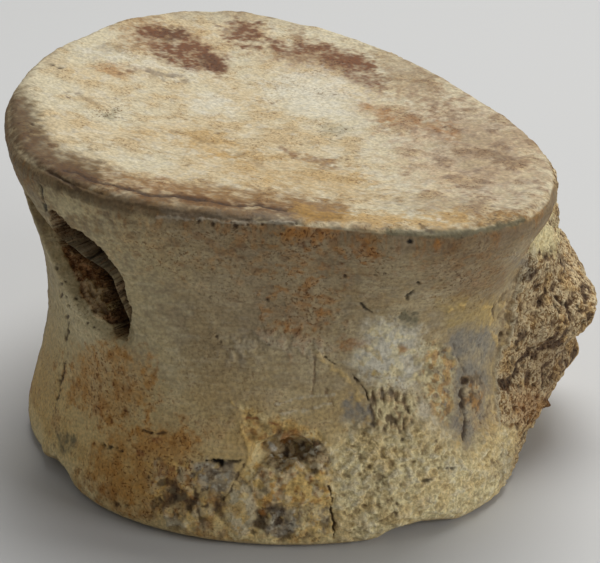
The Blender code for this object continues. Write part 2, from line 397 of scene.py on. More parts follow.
def stump_share(angle, height):
    """One on the broken stumps of the arch, falling to nothing at their feet."""
    lean = STUMP_LEAN * height / UPPER_HEIGHT
    found = np.zeros_like(angle)
    for first, full, still, last in STUMP_SPANS:
        outward = float(last < CANAL_ANGLE)
        rise = ramp(first + lean * outward, full, angle)
        fall = 1.0 - ramp(still, last - lean * (1.0 - outward), angle)
        found = np.maximum(found, rise * fall)
    return found


def span(angle, first, last, fade):
    """One between two angles, with a fade at each end."""
    half = (last - first) / 2
    off = np.abs(np.mod(angle - first - half + 180.0, 360.0) - 180.0)
    return 1.0 - ramp(half - fade, half + fade, off)


# What the photograph shows, in its pixels. A patch has an outline, the fade of its edge, a colour with its
# strength, and how far it stands out. An egg has a middle, half width, half height and turn, a colour with
# its strength, and how far it stands out, where it does. A line has its points, half width in millimetres,
# how far it stands out, and a colour with its strength.

FACE_PATCHES = (
    (((134, 25), (163, 27), (184, 29), (203, 44), (230, 63), (220, 75), (201, 67), (184, 69), (163, 63),
      (151, 46), (134, 38)),
     7, MAUVE, 0.95, 0.0),
    (((266, 38), (280, 42), (304, 41), (347, 48), (372, 61), (386, 80), (382, 92), (366, 90), (347, 76),
      (331, 67), (280, 61)),
     8, MAUVE, 0.85, 0.0),
)
FACE_HALOS = (
    (146, 36, 34, 22, 10, STAIN, 0.65),
    (196, 50, 40, 20, 35, STAIN, 0.4),
    (318, 60, 72, 22, 14, STAIN, 0.4),
    (410, 78, 60, 26, 35, STAIN, 0.3),
    (400, 120, 70, 14, 18, STAIN, 0.4),
)
FACE_EGGS = (
    (470, 150, 100, 66, 25, PINK, 0.45),
    (480, 150, 60, 40, 30, BROWN, 0.25),
    (410, 70, 60, 30, 35, BROWN, 0.3),
    (243, 33, 25, 16, 0, MAUVE, 0.85),
    (175, 34, 14, 10, 10, UMBER, 0.34),
    (213, 62, 14, 8, 20, UMBER, 0.34),
    (356, 60, 20, 10, 20, MAUVE, 0.5),
    (298, 31, 10, 9, 40, MAUVE, 0.45),
    (262, 17, 110, 9, 0, BROWN, 0.22),
    (118, 70, 28, 8, 5, RUST, 0.5),
    (132, 72, 12, 4, 0, BROWN, 0.55),
    (105, 50, 34, 7, -5, BROWN, 0.3),
    (366, 106, 12, 4, 5, RUST, 0.7),
    (385, 117, 16, 6, 25, RUST, 0.62),
    (430, 126, 34, 6, 14, RUST, 0.5),
    (290, 154, 12, 4, 30, MAUVE, 0.62),
    (320, 163, 28, 5, 12, MAUVE, 0.6),
    (205, 142, 38, 14, 18, OCHRE, 0.42),
    (300, 176, 96, 20, 10, OCHRE, 0.42),
    (498, 157, 16, 8, 10, BROWN, 0.5),
    (450, 205, 90, 14, 4, BROWN, 0.3),
    # The next two darken the left end of the face: painted shade, partly also its own brown
    (20, 122, 22, 26, 20, DARK_OLIVE, 0.5),
    (40, 148, 26, 14, 35, BROWN, 0.5),
    (46, 149, 13, 9, 0, RED_RUST, 0.45),
    (90, 165, 40, 9, 14, BROWN, 0.35),
    (175, 190, 50, 9, 12, RED_RUST, 0.4),
    (210, 104, 24, 13, 10, PALE, 0.55),
    (315, 94, 58, 27, 10, PALE, 0.6),
    (333, 131, 17, 9, 0, GREEN_GREY, 0.35),
    (110, 113, 9, 4, 0, GREEN_GREY, 0.5, -0.06),
)
FACE_LINES = (
    (((77, 50), (134, 61), (168, 71), (191, 77)), 1.4, 0.22, PALE, 0.5),
    (((149, 72), (168, 76), (186, 81)), 0.8, -0.16, BROWN, 0.55),
    (((51, 64), (56, 67), (66, 67)), 0.4, -0.25, UMBER, 0.9),
    (((67, 92), (80, 96), (98, 105)), 0.5, -0.1, BROWN, 0.4),
    (((120, 128), (170, 138), (236, 160)), 0.7, -0.05, OCHRE, 0.35),
    (((172, 132), (214, 146), (262, 164)), 0.6, -0.05, BROWN, 0.3),
)
RIM_GROOVE = (
    (64, 169), (76, 171), (87, 177), (97, 182), (110, 184), (135, 191), (150, 196), (176, 198), (208, 202),
    (236, 206), (258, 206), (278, 209), (295, 210), (320, 216), (341, 217),
)
LIP_BAND = (
    (50, 172), (64, 174), (87, 182), (110, 189), (135, 196), (176, 203), (208, 206), (250, 210), (300, 214),
    (300, 222), (250, 222), (200, 219), (160, 218), (130, 212), (100, 204), (76, 198), (54, 190),
)
GREY_LIP = (
    (160, 208), (194, 211), (236, 213), (280, 213), (300, 214), (300, 221), (264, 223), (222, 222),
    (194, 219), (166, 218),
)
LIP_EDGE = ((156, 218), (194, 219), (222, 222), (247, 223), (264, 223), (278, 221), (295, 221))
LEFT_SHADE = ((15, 104), (19, 122), (28, 140), (42, 156), (60, 168), (84, 176))
RIM_FOLD = ((48, 170), (59, 176), (69, 184), (77, 191))
RIGHT_LIP_SHADE = ((388, 230), (412, 233), (440, 234), (470, 232), (500, 227), (522, 219))
RIM_ORANGE = ((300, 212), (341, 216), (362, 217), (384, 221), (430, 221), (464, 219))

WALL_PATCHES = (
    (((72, 352), (110, 344), (142, 352), (150, 380), (143, 410), (120, 426), (92, 422), (66, 396)),
     18, ORANGE, 0.6, 0.0),
    (((110, 428), (172, 424), (200, 446), (196, 484), (178, 512), (140, 514), (100, 500), (82, 474)),
     20, ORANGE, 0.66, 0.0),
    (((425, 232), (470, 230), (520, 222), (514, 262), (505, 292), (480, 306), (450, 300), (428, 276)),
     20, BROWN, 0.36, 0.0),
    (((348, 360), (360, 338), (376, 320), (398, 322), (417, 326), (424, 352), (420, 388), (404, 398),
      (384, 390), (368, 384), (356, 372)),
     14, PALE, 0.8, 0.1),
    (((414, 388), (428, 398), (442, 416), (452, 440), (440, 446), (420, 432), (410, 408)),
     12, PALE, 0.6, 0.0),
    (((440, 300), (456, 300), (494, 300), (494, 325), (476, 333), (444, 332)),
     12, YELLOW, 0.5, 0.1),
    (((448, 330), (470, 326), (494, 328), (500, 352), (494, 380), (486, 420), (476, 452), (464, 454),
      (458, 420), (452, 380), (444, 356)),
     13, BLUE_GREY, 0.72, -0.15),
    (((430, 368), (446, 358), (456, 372), (462, 400), (460, 440), (448, 448), (444, 420)),
     10, BLUE_GREY, 0.55, -0.05),
)
# The cortex has broken off here, and what shows lies deeper
BROKEN_CORTEX = (
    (239, 402), (262, 412), (284, 420), (318, 430), (334, 446), (348, 462), (342, 500), (335, 542),
    (228, 544), (222, 520), (232, 490), (250, 465), (251, 445), (241, 424),
)
# Stretches of broken bone: an outline, the fade of its edge, how far it stands out, how uneven it is, how
# dark its painted shade is in its low spots, and its colours, each with the noise level it starts at and
# its strength
ROUGH_PLATES = (
    (((150, 462), (196, 458), (206, 484), (222, 496), (226, 520), (214, 536), (176, 530), (150, 512)),
     14, -0.05, 0.3, 0.75,
     ((HONEY, -0.5, 0.6), (GREY, 0.1, 0.4), (RUST, 0.2, 0.6), (CREAM, 0.25, 0.4))),
    (((194, 463), (212, 461), (234, 464), (235, 482), (224, 492), (206, 494), (196, 484)),
     7, 0.1, 0.12, 0.4,
     ((GREY, -0.5, 0.75), (PALE, 0.05, 0.45), (TAN, 0.2, 0.5))),
    (((238, 419), (256, 416), (286, 426), (306, 432), (300, 444), (276, 444), (250, 448)),
     8, 0.0, 0.22, 0.5,
     ((HONEY, -0.4, 0.6), (OCHRE, 0.0, 0.5), (RUST, 0.2, 0.6), (GREEN_GREY, 0.25, 0.4))),
    (((268, 442), (280, 436), (304, 440), (324, 444), (338, 458), (328, 470), (300, 468), (280, 474),
      (264, 462)),
     8, 0.3, 0.75, 0.8,
     ((UMBER, -0.6, 0.6), (BROWN, -0.1, 0.6), (TAN, 0.04, 0.8), (PALE, 0.24, 0.8))),
    (((250, 484), (262, 470), (276, 474), (288, 466), (304, 470), (318, 467), (332, 476), (330, 498),
      (312, 506), (285, 504), (262, 506)),
     6, 0.5, 0.3, 0.45,
     ((HONEY, -0.6, 0.9), (ORANGE, 0.08, 0.6), (CREAM, 0.05, 0.6), (RUST, 0.3, 0.55))),
    (((232, 486), (246, 482), (256, 502), (254, 532), (236, 540), (226, 522)),
     5, 0.3, 0.1, 0.2,
     ((CREAM, -0.6, 0.8), (HONEY, 0.1, 0.6))),
    (((268, 508), (284, 506), (300, 512), (298, 532), (282, 540), (268, 532)),
     7, -0.1, 0.3, 0.8,
     ((GREY, -0.4, 0.75), (PALE, 0.2, 0.5), (UMBER, 0.22, 0.5))),
    (((302, 508), (328, 506), (330, 534), (306, 536)),
     8, 0.0, 0.25, 0.6,
     ((CREAM, -0.1, 0.6), (HONEY, 0.0, 0.6), (OLIVE, 0.15, 0.5))),
    (((252, 512), (264, 508), (270, 520), (266, 534), (254, 532)),
     5, -0.45, 0.4, 0.9,
     ((UMBER, -0.6, 0.9), (TAN, 0.2, 0.7))),
    (((160, 509), (162, 496), (172, 489), (183, 491), (191, 500), (190, 510), (176, 503)),
     5, -0.4, 0.3, 0.8,
     ((BROWN, -0.6, 0.85), (GREEN_GREY, 0.0, 0.5), (UMBER, 0.1, 0.6))),
    (((418, 346), (438, 340), (452, 356), (455, 392), (450, 420), (438, 424), (426, 402), (418, 372)),
     9, 0.08, 0.22, 0.5,
     ((SAND, -0.4, 0.6), (ORANGE, 0.12, 0.6), (BROWN, 0.2, 0.4), (YELLOW, 0.2, 0.4))),
    (((350, 360), (362, 340), (378, 322), (414, 326), (422, 352), (418, 386), (384, 388), (366, 380)),
     12, 0.0, 0.14, 0.3,
     ((PALE, -0.1, 0.5), (GREY, 0.2, 0.2), (YELLOW, 0.3, 0.5), (SAND, 0.1, 0.5))),
    (((464, 380), (478, 376), (486, 392), (478, 412), (464, 408)),
     6, 0.2, 0.25, 0.6,
     ((TAN, -0.5, 0.7), (BROWN, 0.05, 0.6), (ORANGE, 0.25, 0.5))),
    (((344, 426), (372, 420), (376, 446), (352, 452)),
     8, -0.15, 0.3, 0.8,
     ((TAN, -0.3, 0.5), (UMBER, 0.15, 0.7))),
    (((498, 300), (516, 290), (524, 330), (506, 420), (492, 452), (484, 440), (496, 380)),
     10, 0.1, 0.4, 0.7,
     ((TAN, -0.5, 0.7), (HONEY, 0.1, 0.5), (BROWN, 0.2, 0.6))),
)
BARS = ((366, 392), (384, 384), (402, 390), (418, 396), (420, 420), (406, 432), (384, 432), (368, 424))
WALL_EGGS = (
    (64, 444, 11, 14, 0, GREEN_GREY, 0.7, -0.1),
    (102, 492, 14, 9, 30, RUST, 0.6),
    (157, 440, 8, 6, 10, RED_RUST, 0.7),
    (139, 455, 6, 6, 0, RED_RUST, 0.6),
    (166, 473, 7, 6, 0, RED_RUST, 0.6),
    (98, 410, 8, 8, 0, RUST, 0.6),
    (124, 388, 8, 10, 0, RUST, 0.5),
    (308, 231, 34, 10, -4, RUST, 0.55),
    (362, 250, 18, 11, 30, RUST, 0.5),
    (408, 243, 3, 3, 0, BLACK, 0.9, -0.2),
    (408, 317, 9, 12, 10, GREEN_GREY, 0.75, -0.1),
    (355, 412, 15, 18, 0, BLUE_GREY, 0.65),
    (300, 316, 34, 34, 30, RUST, 0.2),
    (318, 311, 7, 6, 0, RUST, 0.65),
    (284, 329, 9, 6, 0, RUST, 0.65),
    (355, 344, 18, 9, -10, RUST, 0.6),
    (376, 374, 6, 5, 0, YELLOW, 0.8),
    (404, 348, 6, 4, 0, RUST, 0.6),
    (440, 245, 5, 7, 0, RUST, 0.6),
    (493, 309, 4, 5, 0, UMBER, 0.9, -0.4),
    (499, 337, 4, 5, 0, UMBER, 0.9, -0.4),
    (290, 436, 10, 6, 0, RUST, 0.7),
    (273, 444, 4, 4, 0, WHITE, 0.9, 0.35),
    (260, 513, 5, 4, 0, RUST, 0.9, 0.1),
    (236, 508, 6, 8, 0, OCHRE, 0.5),
    (212, 524, 10, 8, 0, RUST, 0.5),
    (213, 505, 8, 12, 0, BROWN, 0.55, -0.2),
    (170, 518, 7, 8, 0, CREAM, 0.7, 0.45),
    (181, 521, 6, 7, 0, CREAM, 0.6, 0.4),
    (118, 505, 6, 4, 20, UMBER, 0.8, -0.3),
    (314, 470, 7, 4, 0, UMBER, 0.7, -0.3),
)
# Wide soft eggs: painted light and shade on the wall, and with a share, where rust gathers
WALL_LIGHT_AND_SHADE = (
    # Pale ones lighten the left of the wall as painted light, and the brown one darkens its middle as
    # painted shade
    (95, 370, 95, 190, 0, SAND, 0.36),
    (68, 200, 34, 20, 20, SAND, 0.4),
    (160, 262, 80, 44, 14, SAND, 0.12),
    (270, 300, 130, 80, 10, BROWN, 0.26),
)
RUSTY_EGGS = (
    (110, 385, 50, 46, 1.0), (158, 470, 52, 46, 1.0), (300, 310, 44, 40, 0.8), (315, 234, 46, 14, 1.0),
    (362, 250, 22, 16, 1.0), (240, 250, 140, 40, 0.45), (470, 265, 44, 44, 0.5),
)
PORE_SPOTS = (
    (56, 268, 2.2), (60, 284, 2.2), (65, 281, 1.8), (61, 296, 2.0), (66, 297, 1.8), (76, 297, 2.4),
    (69, 306, 2.0), (67, 317, 2.2), (109, 322, 2.0), (88, 323, 2.0), (94, 327, 1.8), (198, 222, 2.2),
    (211, 224, 2.4), (234, 226, 2.4), (247, 225, 2.0), (262, 225, 2.6), (296, 221, 2.2), (403, 440, 2.6),
    (436, 441, 2.4), (370, 466, 2.8), (396, 513, 2.8), (398, 505, 2.4), (32, 123, 2.0), (216, 336, 1.8),
    (268, 302, 1.8), (345, 278, 1.8),
)
# Where the cortex ends and the nearer stump's torn bone begins, and then round that bone
TORN_EDGE = (
    (533, 242), (534, 262), (521, 276), (515, 292), (512, 314), (511, 336), (500, 350), (496, 366),
    (498, 424), (530, 430), (600, 300), (560, 236),
)
# Lines are drawn this much thinner than noted, and only cracks deeper than this run on without breaks
LINE_THINNESS = 0.8
DEEP_CRACK = -0.45
WALL_LINES = (
    (((36, 176), (41, 188), (43, 202), (45, 211)), 0.35, -0.3, BLACK, 0.85),
    (((69, 321), (67, 335), (68, 352), (63, 373), (59, 386), (56, 412)), 0.26, -0.2, UMBER, 0.85),
    (((102, 443), (106, 449), (112, 448), (122, 452)), 0.4, -0.3, BLACK, 0.85),
    (((143, 430), (151, 433), (164, 433)), 0.3, -0.2, UMBER, 0.8),
    (((122, 272), (133, 274), (147, 272), (161, 278), (175, 283), (196, 285)), 0.45, 0.14, TAN, 0.3),
    (((214, 295), (234, 299), (249, 305), (257, 313), (264, 332), (275, 344)), 0.25, -0.05, BROWN, 0.4),
    (((362, 305), (366, 310), (371, 313)), 0.35, -0.25, BLACK, 0.8),
    (((419, 285), (414, 291), (407, 298)), 0.4, -0.3, BLACK, 0.85),
    (((316, 352), (326, 362), (336, 369), (348, 376), (355, 388), (360, 398)), 0.8, 0.2, HONEY, 0.5),
    (((324, 356), (333, 363), (341, 366), (352, 372), (358, 384), (365, 392), (368, 400)),
     0.3, -0.42, UMBER, 0.9),
    (((315, 353), (314, 376), (312, 398)), 0.3, -0.15, BROWN, 0.6),
    (((325, 388), (334, 407), (334, 422)), 0.45, -0.2, BROWN, 0.7),
    (((277, 404), (304, 398), (334, 394)), 0.35, 0.05, PALE, 0.4),
    (((282, 414), (306, 410), (330, 402)), 0.35, 0.05, PALE, 0.35),
    (((234, 347), (262, 342), (290, 344), (318, 350)), 2.2, 0.3, PALE, 0.18),
    (((191, 461), (205, 461), (219, 462), (240, 461)), 0.4, -0.35, BLACK, 0.8),
    (((206, 461), (214, 461), (221, 462)), 0.6, -0.6, BLACK, 1.0),
    (((232, 400), (238, 422), (249, 445), (248, 462)), 0.45, 0.2, HONEY, 0.6),
    (((206, 472), (220, 472), (233, 473)), 0.25, -0.1, UMBER, 0.5),
    (((239, 420), (256, 418), (277, 425)), 0.4, -0.1, RED_RUST, 0.8),
    (((252, 480), (262, 468), (276, 472), (288, 464), (304, 468), (318, 465), (329, 474)),
     0.45, 0.2, CREAM, 0.5),
    (((328, 487), (332, 499), (331, 511), (335, 525), (333, 538)), 0.28, -0.46, UMBER, 0.95),
    (((244, 465), (238, 474), (232, 488), (224, 500)), 0.35, -0.25, UMBER, 0.7),
    (((437, 240), (441, 246), (444, 250)), 0.4, 0.0, RUST, 0.7),
    (((448, 312), (456, 304), (474, 305), (490, 307), (488, 325), (497, 344)), 0.4, 0.12, HONEY, 0.5),
    (((466, 380), (461, 394), (463, 412)), 0.5, -0.4, UMBER, 0.9),
    (((464, 413), (466, 426), (464, 440)), 0.35, -0.4, UMBER, 0.85),
    (((480, 346), (484, 366), (480, 384)), 0.3, -0.2, UMBER, 0.6),
    (((454, 344), (458, 356), (466, 372)), 0.3, -0.2, UMBER, 0.5),
    (((512, 254), (535, 259)), 0.5, 0.15, TAN, 0.5),
    (((535, 260), (534, 272), (524, 281), (516, 293), (513, 307), (516, 318), (510, 326), (512, 338)),
     0.6, 0.3, CREAM, 0.4),
    (((442, 468), (454, 468)), 0.4, -0.35, BLACK, 0.8),
    (((422, 481), (431, 481)), 0.4, -0.35, BLACK, 0.8),
)
GRANULAR = (
    (332, 448), (352, 432), (376, 430), (398, 432), (420, 422), (446, 440), (470, 456), (498, 430),
    (532, 424), (526, 452), (512, 486), (480, 524), (392, 536), (344, 542), (336, 500),
)
SMOOTHER = ((404, 486), (452, 480), (496, 478), (500, 500), (478, 522), (420, 526), (400, 510))


# How much more than a patch an egg wanders
EGG_WARP = 1.4


def fibre_places(points):
    """Places drawn out along the grain of the end faces, which wavers a little."""
    _, right, _, _ = camera_frame()
    grain = np.array((right[0], right[1], 0.0))
    side = np.array((-right[1], right[0], 0.0))
    wavering = 1.6 * lumps(points / 11.0, 201)
    along = points @ grain
    across = points @ side + wavering + 0.18 * along
    return np.column_stack([along / 2.8, across / 0.8, points[:, 2] / 1.5])


def fibre_streaks(skin, mask, seed):
    return only(mask, lambda p: relief(fibre_places(p), 1.0, 3, seed), skin.at)


def lay_patches(skin, patches, mask):
    mottle = np.clip(0.95 + 0.6 * skin.patchy + 0.2 * skin.fleck, 0.4, 1.1)
    for outline, fade, colour, strength, out in patches:
        found = skin.patch(outline, fade) * mask
        skin.push += found * out
        skin.tint(colour, found * strength * mottle)


def lay_rough(skin, plates, mask):
    """Broken bone inside each outline, uneven and mottled, with painted shade where it sinks lowest."""
    for number, (outline, fade, out, unevenness, crevice_shading, shades) in enumerate(plates):
        found = skin.patch(outline, fade) * mask
        seed = 300 + 20 * number
        uneven = skin.noise(found, 1.9, 3, seed)
        skin.push += found * (out + unevenness * uneven)
        for step, (colour, start, strength) in enumerate(shades):
            flecks = skin.noise(found, 1.5, 3, seed + 3 * step + 3)
            skin.tint(colour, found * ramp(start - 0.1, start + 0.14, flecks) * strength)
        # Painted shade: umber where the uneven bone sinks lowest
        skin.tint(UMBER, found * ramp(0.2, 0.5, -uneven) * crevice_shading)


def lay_eggs(skin, eggs, mask, spread):
    for x, y, wide, high, turn, colour, strength, *out in eggs:
        found = skin.blot(x, y, wide, high, turn, warp=EGG_WARP) * mask
        skin.push += found * sum(out)
        skin.tint(colour, found * strength * spread)


def lay_lines(skin, lines, mask):
    for points, width, out, colour, strength in lines:
        found = skin.stroke(points, width * LINE_THINNESS) * mask
        if out > DEEP_CRACK:
            found *= np.clip(0.8 + 1.3 * skin.ragged + 0.5 * skin.patchy, 0.15, 1.0)
        skin.push += found * out
        skin.tint(colour, found * strength)


def dress_top(skin):
    """The upper end face: cream bone with a faint grain, and mauve and rust stains."""
    top = skin.top
    skin.tint(CREAM, top)
    fibres = fibre_streaks(skin, top, 21)
    broad = skin.noise(top, 15.0, 3, 23)
    mottle = skin.noise(top, 4.5, 4, 27)
    fine = skin.noise(top, 1.6, 3, 25)
    grained = np.clip(0.3 + skin.blot(270, 165, 190, 50, 8), 0.0, 1.0)
    skin.push += top * (0.25 * broad + 0.05 * fibres * grained + 0.12 * mottle + 0.06 * fine)
    skin.tint(TAN, top * ramp(-0.3, 0.4, broad) * 0.6)
    skin.tint(OCHRE, top * ramp(0.0, 0.6, mottle + 0.4 * fibres * grained) * 0.28)
    skin.tint(BROWN, top * ramp(0.1, 0.7, grained * fibres + 0.6 * fine) * 0.26)
    inner = ramp(1.5, 6.0, skin.rim_gap)
    skin.tint(PALE, top * inner * ramp(0.0, 0.7, fine - 0.5 * mottle) * 0.35)
    edge = top * hill(skin.rim_gap - 0.3, 2.8)
    skin.tint(BROWN, edge * ramp(-0.5, 0.4, fine + broad) * 0.5)

    spread = np.clip(1.05 + 0.35 * mottle + 0.5 * fine + 0.25 * skin.fleck, 0.55, 1.15)
    lay_eggs(skin, FACE_HALOS, top, spread)
    lay_patches(skin, FACE_PATCHES, top * spread)
    lay_eggs(skin, FACE_EGGS, top, spread)
    right_side = skin.blot(478, 150, 105, 66, 25) * top
    skin.tint(BROWN, right_side * ramp(0.0, 0.6, mottle + 0.5 * fine) * 0.4)
    skin.tint(OLIVE, right_side * ramp(0.0, 0.6, -mottle) * 0.35)

    dots = specks(skin.at, 1.7, 0.4, 31, top) * ramp(-0.2, 0.5, mottle + 0.6 * broad)
    skin.push -= dots * 0.12
    skin.tint(BROWN, dots * 0.6)
    skin.dots = np.maximum(skin.dots, top * np.clip(0.2 + 0.8 * mottle, 0.05, 0.7))
    dusty = np.maximum(skin.blot(333, 131, 20, 11), skin.blot(108, 110, 26, 10)) * top
    skin.dots = np.maximum(skin.dots, dusty)
    lay_lines(skin, FACE_LINES, top)


def dress_rim(skin):
    """The groove that runs just inside the upper rim, and the lip that overhangs the wall below it."""
    wobble = relief(skin.at, 7.0, 3, 35)
    worn = span(skin.angle, 235, 335, 18)
    corner = hill(skin.rim_gap, 1.3) * hill(skin.under, 1.5)
    blunt = span(skin.angle, 338, 12, 10)
    skin.push -= corner * (0.15 + 0.35 * worn + 0.7 * blunt + 0.15 * wobble)
    # Painted shade: the lip band below the groove is darkened with a dull brown, mottled
    band = skin.patch(LIP_BAND, 7)
    skin.tint(LIP_SHADE_BROWN, band * 0.9)
    skin.tint(BROWN, band * ramp(0.1, 0.6, skin.patchy) * 0.4)

    above = tuple((x, y - 5) for x, y in RIM_GROOVE)
    mottled = np.clip(0.85 + 0.5 * skin.ragged + 0.5 * wobble, 0.3, 1.0)
    skin.tint(WARM_BROWN, skin.stroke(above, 2.8, warp=0.5, rough=0.3) * mottled * 0.9)
    # Painted shade, partly also the bone's own brown: the left end of the rim is darkened along LEFT_SHADE
    skin.tint(DARK_OLIVE, skin.stroke(LEFT_SHADE, 4.8, warp=0.6, rough=0.3) * 0.7)
    skin.tint(RED_BROWN, skin.stroke(RIM_GROOVE, 1.0, warp=0.3, rough=0.4) * mottled * 0.8)
    skin.tint(LEFT_SHADE_BROWN, skin.stroke(LEFT_SHADE, 2.8, warp=0.6, rough=0.4) * mottled * 0.85)
    seen = skin.stroke(RIM_GROOVE, 0.3, warp=0.25, rough=0.35)
    seen = np.maximum(seen, 0.6 * skin.stroke(RIM_FOLD, 0.5, warp=0.3, rough=0.4))
    hidden = hill(skin.rim_gap - 1.3 - 0.5 * wobble, 0.3) * skin.top * (1.0 - skin.facing)
    hidden *= ramp(-0.35, 0.15, wobble)
    groove = np.maximum(seen, hidden)
    skin.push -= groove * 0.2
    skin.tint(UMBER, groove * 0.85)
    skin.tint(OCHRE, skin.stroke(RIM_ORANGE, 1.5, warp=1.0) * 0.6)

    depth = skin.under + 0.45 * wobble
    below = ramp(2.6, 3.2, depth) * np.exp(-np.maximum(depth - 3.2, 0.0) / 4.0) * skin.wall
    broken_up = ramp(-0.4, 0.3, wobble)
    skin.push -= below * 0.16 * broken_up
    skin.tint(GREY, skin.patch(GREY_LIP, 7) * 0.3)
    # Painted highlight: the lip's lower edge stands out a little and is lightened
    edge = skin.stroke(LIP_EDGE, 0.4)
    skin.push += edge * 0.12
    skin.tint(PALE, edge * 0.25)
    pits = specks(skin.at, 1.4, 0.5, 39, below) * ramp(-0.2, 0.3, skin.patchy)
    skin.push -= pits * 0.15
    skin.tint(BROWN, pits * 0.7)
    crumbly = skin.blot(500, 220, 38, 10, -6, warp=0.8)
    near, _ = cells(skin.at, 0.9, 131)
    skin.push += crumbly * (0.2 * skin.ragged + 0.1 * skin.fleck - 0.1 * ramp(0.3, 0.6, near))
    skin.tint(OCHRE, crumbly * 0.5)
    skin.tint(WARM_BROWN, crumbly * ramp(0.0, 0.35, skin.ragged + skin.fleck) * 0.6)
    skin.tint(UMBER, crumbly * ramp(0.1, 0.4, -skin.ragged - skin.fleck) * 0.7)
    # Painted shade: the right part of the lip is darkened with green grey
    skin.tint(GREEN_GREY, skin.stroke(RIGHT_LIP_SHADE, 1.0, warp=0.6, rough=0.5) * 0.85)
    skin.tint(UMBER, skin.stroke(((421, 225), (427, 229), (431, 231)), 0.3) * 0.6)
    skin.tint(WHITE, skin.blot(438, 220, 3, 3) * 0.5)


def dress_base(skin):
    """The lower end face, which the bone stands on."""
    base = skin.base
    fibres = fibre_streaks(skin, base, 41)
    broad = skin.noise(base, 14.0, 3, 43)
    fine = skin.noise(base, 2.4, 3, 45)
    rest = 1.0 - ramp(0.2, 1.2, skin.height)
    skin.tint(TAN, base)
    skin.push += base * (0.2 * broad + 0.08 * fibres + 0.08 * fine) * (1.0 - rest)
    skin.tint(CREAM, base * ramp(0.0, 0.6, broad) * 0.6)
    skin.tint(RUST, base * ramp(0.25, 0.7, broad + 0.5 * fine) * 0.4)
    skin.tint(GREY, base * ramp(0.2, 0.8, fine - broad) * 0.45)
    skin.tint(BROWN, base * ramp(0.3, 0.8, fibres) * 0.4)
    dots = specks(skin.at, 2.8, 0.6, 47, base)
    skin.tint(UMBER, dots * 0.5)


# The side wall. A streak's length along each axis, in millimetres

LEVEL_STREAK = np.array((5.0, 5.0, 0.5))
UPRIGHT_STREAK = np.array((0.8, 0.8, 4.5))
# How much closer the noise runs along each axis in the pit, in torn bone and in the granular stretch
PIT_GRAIN = np.array((1.0, 1.0, 0.35))
TORN_GRAIN = np.array((1.0, 1.0, 0.55))
GRANULE_GRAIN = np.array((1.0, 1.0, 1.4))
# The pit: its upper and right edge, and its whole outline
PIT_EDGE = (
    (49, 212), (62, 219), (70, 229), (79, 234), (90, 243), (98, 248), (107, 258), (115, 268), (121, 278),
    (124, 289), (128, 302), (130, 319), (129, 331),
)
PIT = PIT_EDGE + (
    (125, 339), (119, 337), (112, 325), (104, 320), (97, 316), (91, 307), (84, 297), (79, 292), (79, 282),
    (72, 272), (66, 258), (62, 247), (56, 233),
)
# The strip sunk along that edge: its half width and depth, and how far beside it the wall is measured
PIT_STRIP = 3.2
PIT_DEPTH = 5.5
PIT_BESIDE = 8.0
PIT_PANEL = ((80, 284), (92, 278), (104, 290), (106, 304), (103, 318), (96, 312), (88, 300))


